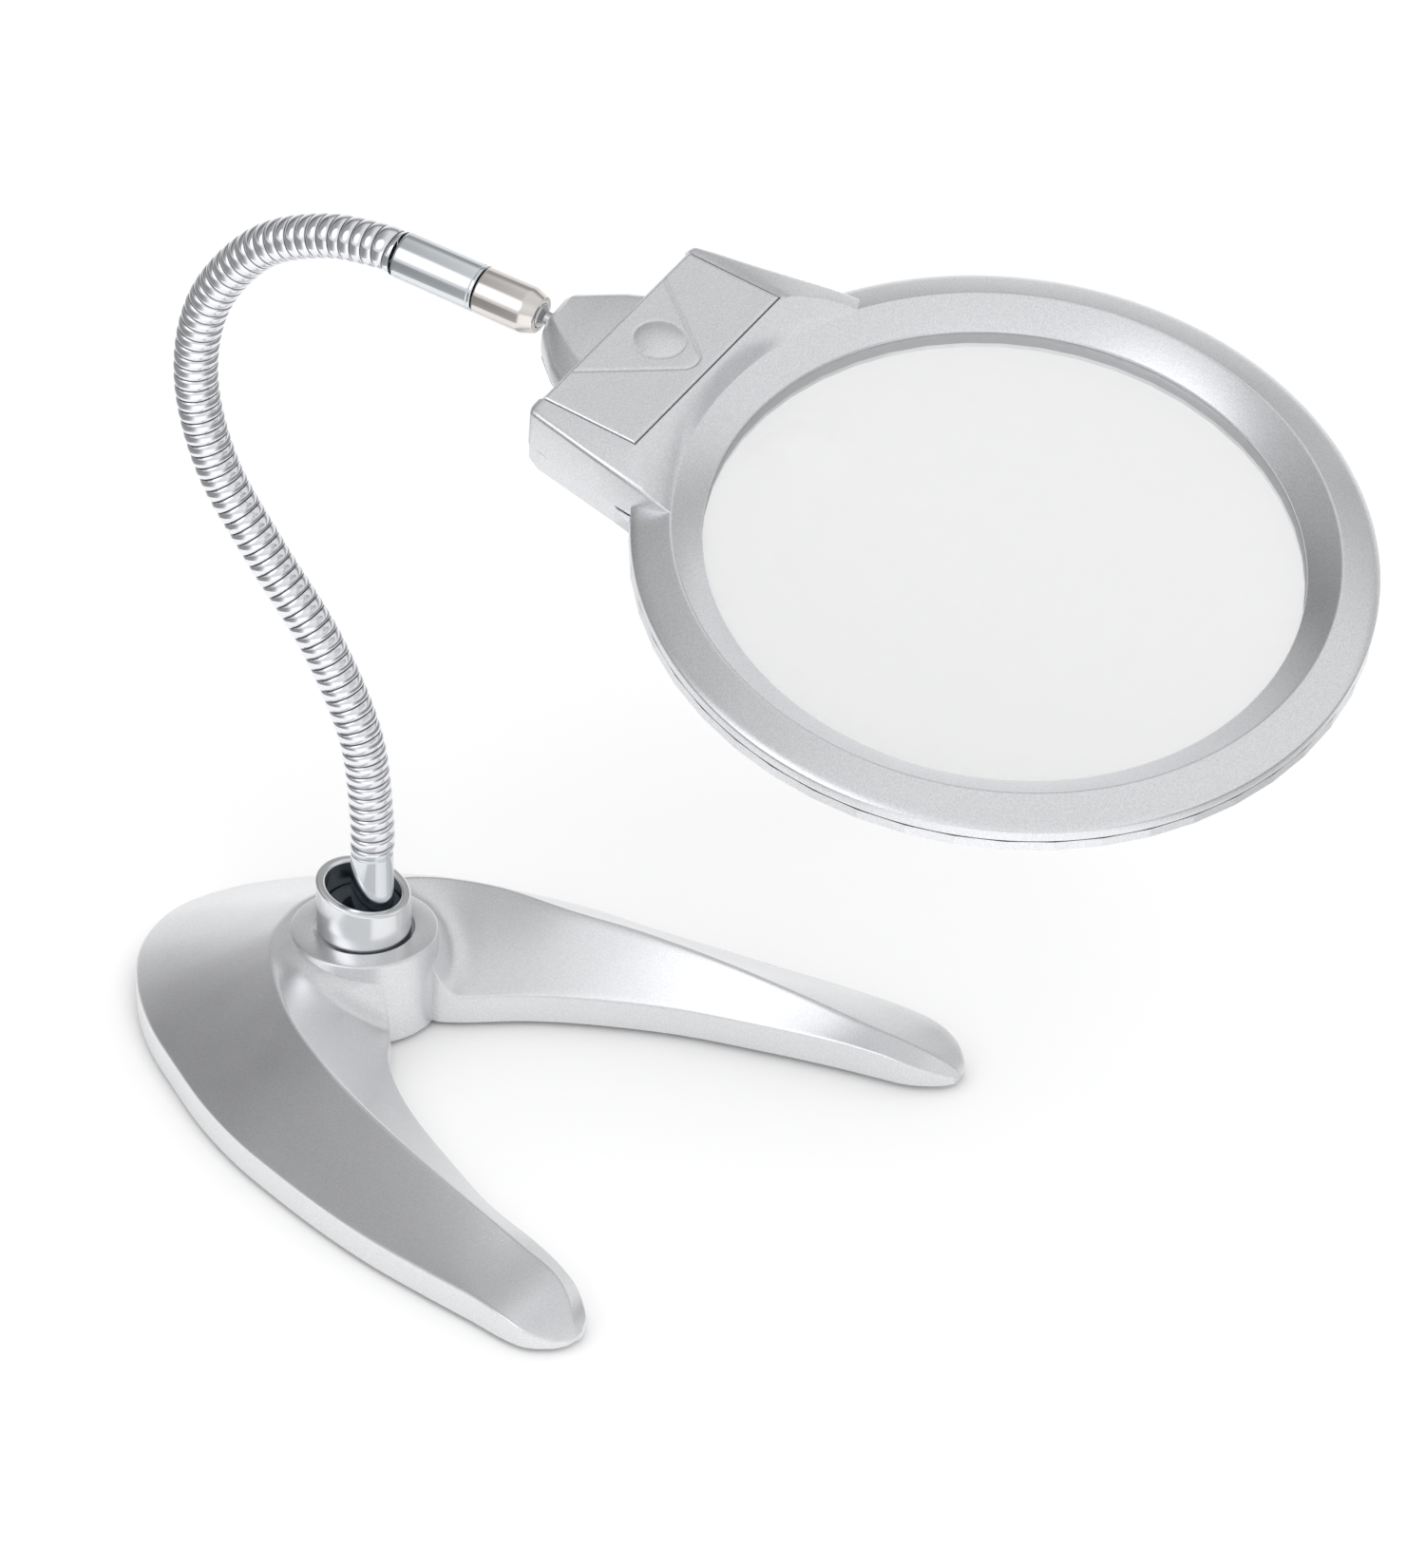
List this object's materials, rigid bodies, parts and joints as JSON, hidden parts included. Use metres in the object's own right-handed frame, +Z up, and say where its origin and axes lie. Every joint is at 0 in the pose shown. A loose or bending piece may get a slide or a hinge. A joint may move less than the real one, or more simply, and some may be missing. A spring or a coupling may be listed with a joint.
{
  "type": "magnifying lamp",
  "caption": "Desk magnifying lamp: a round lens in a silver ring with a battery box, on a chrome gooseneck that turns in a horseshoe base.",
  "frame": {"origin": "middle of the lamp's plan, on the surface that its pads stand on", "axes": "+Z up; the base's legs and the lens point towards -Y; +X is the right-hand side seen from behind the lens"},
  "size_m": [0.1858, 0.2826, 0.2024],
  "materials": {
    "silver_paint": "silver metallic paint, satin",
    "silver_plastic": "silver metallic paint on plastic, satin",
    "chrome": "polished chrome plating",
    "nickel": "satin nickel plating",
    "black_plastic": "matt black",
    "clear_rubber": "pale soft pad",
    "lens_acrylic": "clear polished acrylic",
    "steel": "plain steel",
    "cell_label": "plain printed sleeve",
    "board_green": "solder mask",
    "led_clear": "clear epoxy"
  },
  "bodies": {
    "base": {"base_casting": "silver_paint", "foot_heel_left": "clear_rubber", "foot_heel_right": "clear_rubber", "foot_tip_left": "clear_rubber", "foot_tip_right": "clear_rubber"},
    "neck_1": {"collar_tube": "chrome", "collar_bush": "black_plastic", "neck_ferrule": "chrome", "pivot_screw": "steel", "pivot_washer": "steel", "gooseneck_1": "chrome"},
    "neck_2": {"gooseneck_2": "chrome"},
    "neck_3": {"gooseneck_3": "chrome"},
    "neck_4": {"gooseneck_4": "chrome"},
    "neck_5": {"gooseneck_5": "chrome"},
    "neck_6": {"gooseneck_6": "chrome", "neck_sleeve": "chrome"},
    "swivel": {"swivel_nut": "nickel"},
    "head": {"head_top_shell": "silver_plastic", "head_bottom_shell": "silver_plastic", "main_lens": "lens_acrylic", "ball_stud": "steel", "stud_nut": "steel", "cell_cradle": "black_plastic", "lamp_board": "board_green", "switch_body": "steel", "battery_cell_1": "cell_label", "battery_cell_2": "cell_label", "contact_spring_1": "steel", "contact_spring_2": "steel", "contact_plate_left": "steel", "contact_plate_right": "steel", "led_left": "led_clear", "led_right": "led_clear", "shell_screw_1": "steel", "shell_screw_2": "steel", "shell_screw_3": "steel", "shell_screw_4": "steel"},
    "cover": {"battery_cover": "silver_plastic"},
    "switch": {"switch_slider": "black_plastic"}
  },
  "joints": [
    {"name": "neck_turn", "type": "hinge", "parent": "base", "child": "neck_1", "pos_m": [-0.0154, 0.0899, 0], "axis": [0, 0, 1], "continuous": true},
    {"name": "neck_bend_1", "type": "hinge", "parent": "neck_1", "child": "neck_2", "pos_m": [-0.01569, 0.09138, 0.07619], "axis": [0.9816, 0.1908, 0], "range_deg": [-20, 10]},
    {"name": "neck_sway_2", "type": "hinge", "parent": "neck_2", "child": "neck_3", "pos_m": [-0.01897, 0.10829, 0.10605], "axis": [0.1908, -0.9816, 0], "range_deg": [-20, 20]},
    {"name": "neck_bend_3", "type": "hinge", "parent": "neck_3", "child": "neck_4", "pos_m": [-0.02228, 0.12528, 0.13369], "axis": [0.9816, 0.1908, 0], "range_deg": [-20, 10]},
    {"name": "neck_sway_4", "type": "hinge", "parent": "neck_4", "child": "neck_5", "pos_m": [-0.02271, 0.12751, 0.1643], "axis": [0.1908, -0.9816, 0], "range_deg": [-20, 20]},
    {"name": "neck_bend_5", "type": "hinge", "parent": "neck_5", "child": "neck_6", "pos_m": [-0.01895, 0.10819, 0.19119], "axis": [0.9816, 0.1908, 0], "range_deg": [-20, 10]},
    {"name": "head_turn", "type": "hinge", "parent": "neck_6", "child": "swivel", "pos_m": [-0.00678, 0.04554, 0.19171], "axis": [0.1885, -0.9695, -0.1564], "range_deg": [-90, 90]},
    {"name": "head_tilt", "type": "hinge", "parent": "swivel", "child": "head", "pos_m": [-0.00678, 0.04554, 0.19171], "axis": [0.9816, 0.1908, 0], "range_deg": [-20, 20]},
    {"name": "cover_slide", "type": "slide", "parent": "head", "child": "cover", "axis": [-0.1866, 0.96, 0.2088], "range_m": [0, 0.014]},
    {"name": "switch_slide", "type": "slide", "parent": "head", "child": "switch", "axis": [0.1866, -0.96, -0.2088], "range_m": [0, 0.004]}
  ]
}
